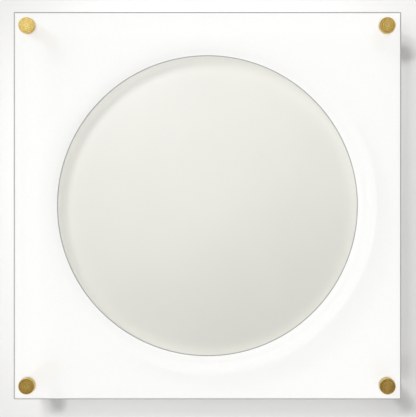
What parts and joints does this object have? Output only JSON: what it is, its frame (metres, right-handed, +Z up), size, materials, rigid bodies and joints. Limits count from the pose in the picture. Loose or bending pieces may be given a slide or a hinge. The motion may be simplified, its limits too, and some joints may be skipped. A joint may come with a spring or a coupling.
{
  "type": "floating frame",
  "caption": "Square clear acrylic floating frame with a white border and round window, held off the wall by brushed brass standoffs with screw-off caps.",
  "frame": {"origin": "centre of the square frame, on the wall's surface, where the four barrels stand", "axes": "+X to the right, +Z up, +Y into the wall; the frame faces -Y"},
  "size_m": [0.3048, 0.0676, 0.3048],
  "materials": {
    "brushed_brass": "satin",
    "clear_acrylic": "polished",
    "white_print": "satin",
    "card": "matte",
    "white_plastic": "satin",
    "clear_nylon": "satin",
    "zinc_steel": "satin",
    "plug_plastic": "matte"
  },
  "bodies": {
    "root": {"wall_plug_top_left": "plug_plastic", "wall_screw_top_left": "zinc_steel", "barrel_top_left": "brushed_brass", "rear_washer_top_left": "clear_nylon", "wall_plug_top_right": "plug_plastic", "wall_screw_top_right": "zinc_steel", "barrel_top_right": "brushed_brass", "rear_washer_top_right": "clear_nylon", "wall_plug_bottom_left": "plug_plastic", "wall_screw_bottom_left": "zinc_steel", "barrel_bottom_left": "brushed_brass", "rear_washer_bottom_left": "clear_nylon", "wall_plug_bottom_right": "plug_plastic", "wall_screw_bottom_right": "zinc_steel", "barrel_bottom_right": "brushed_brass", "rear_washer_bottom_right": "clear_nylon"},
    "back_panel": {"back_panel": "clear_acrylic"},
    "insert": {"backing_disc": "card", "window_ring": "white_plastic", "panel_spacer_top_left": "brushed_brass", "panel_spacer_top_right": "brushed_brass", "panel_spacer_bottom_left": "brushed_brass", "panel_spacer_bottom_right": "brushed_brass"},
    "front_panel": {"front_panel": "clear_acrylic", "white_border": "white_print"},
    "washer_top_left": {"front_washer_top_left": "clear_nylon"},
    "cap_top_left": {"cap_top_left": "brushed_brass"},
    "washer_top_right": {"front_washer_top_right": "clear_nylon"},
    "cap_top_right": {"cap_top_right": "brushed_brass"},
    "washer_bottom_left": {"front_washer_bottom_left": "clear_nylon"},
    "cap_bottom_left": {"cap_bottom_left": "brushed_brass"},
    "washer_bottom_right": {"front_washer_bottom_right": "clear_nylon"},
    "cap_bottom_right": {"cap_bottom_right": "brushed_brass"}
  },
  "joints": [
    {"name": "back_panel_lift", "type": "slide", "parent": "root", "child": "back_panel", "axis": [0, -1, 0], "range_m": [0, 0.03]},
    {"name": "insert_lift", "type": "slide", "parent": "back_panel", "child": "insert", "axis": [0, -1, 0], "range_m": [0, 0.03]},
    {"name": "front_panel_lift", "type": "slide", "parent": "insert", "child": "front_panel", "axis": [0, -1, 0], "range_m": [0, 0.03]},
    {"name": "cap_travel_top_left", "type": "slide", "parent": "front_panel", "child": "washer_top_left", "axis": [0, -1, 0], "range_m": [0, 0.01]},
    {"name": "cap_turn_top_left", "type": "hinge", "parent": "washer_top_left", "child": "cap_top_left", "pos_m": [-0.1411, -0.0342, 0.1411], "axis": [0, -1, 0], "range_deg": [0, 2880]},
    {"name": "cap_travel_top_right", "type": "slide", "parent": "front_panel", "child": "washer_top_right", "axis": [0, -1, 0], "range_m": [0, 0.01]},
    {"name": "cap_turn_top_right", "type": "hinge", "parent": "washer_top_right", "child": "cap_top_right", "pos_m": [0.1411, -0.0342, 0.1411], "axis": [0, -1, 0], "range_deg": [0, 2880]},
    {"name": "cap_travel_bottom_left", "type": "slide", "parent": "front_panel", "child": "washer_bottom_left", "axis": [0, -1, 0], "range_m": [0, 0.01]},
    {"name": "cap_turn_bottom_left", "type": "hinge", "parent": "washer_bottom_left", "child": "cap_bottom_left", "pos_m": [-0.1411, -0.0342, -0.1411], "axis": [0, -1, 0], "range_deg": [0, 2880]},
    {"name": "cap_travel_bottom_right", "type": "slide", "parent": "front_panel", "child": "washer_bottom_right", "axis": [0, -1, 0], "range_m": [0, 0.01]},
    {"name": "cap_turn_bottom_right", "type": "hinge", "parent": "washer_bottom_right", "child": "cap_bottom_right", "pos_m": [0.1411, -0.0342, -0.1411], "axis": [0, -1, 0], "range_deg": [0, 2880]}
  ],
  "couplings": [
    {"joint": "cap_travel_top_left", "follows": "cap_turn_top_left", "m_per_rad": 0.00019894},
    {"joint": "cap_travel_top_right", "follows": "cap_turn_top_right", "m_per_rad": 0.00019894},
    {"joint": "cap_travel_bottom_left", "follows": "cap_turn_bottom_left", "m_per_rad": 0.00019894},
    {"joint": "cap_travel_bottom_right", "follows": "cap_turn_bottom_right", "m_per_rad": 0.00019894}
  ]
}
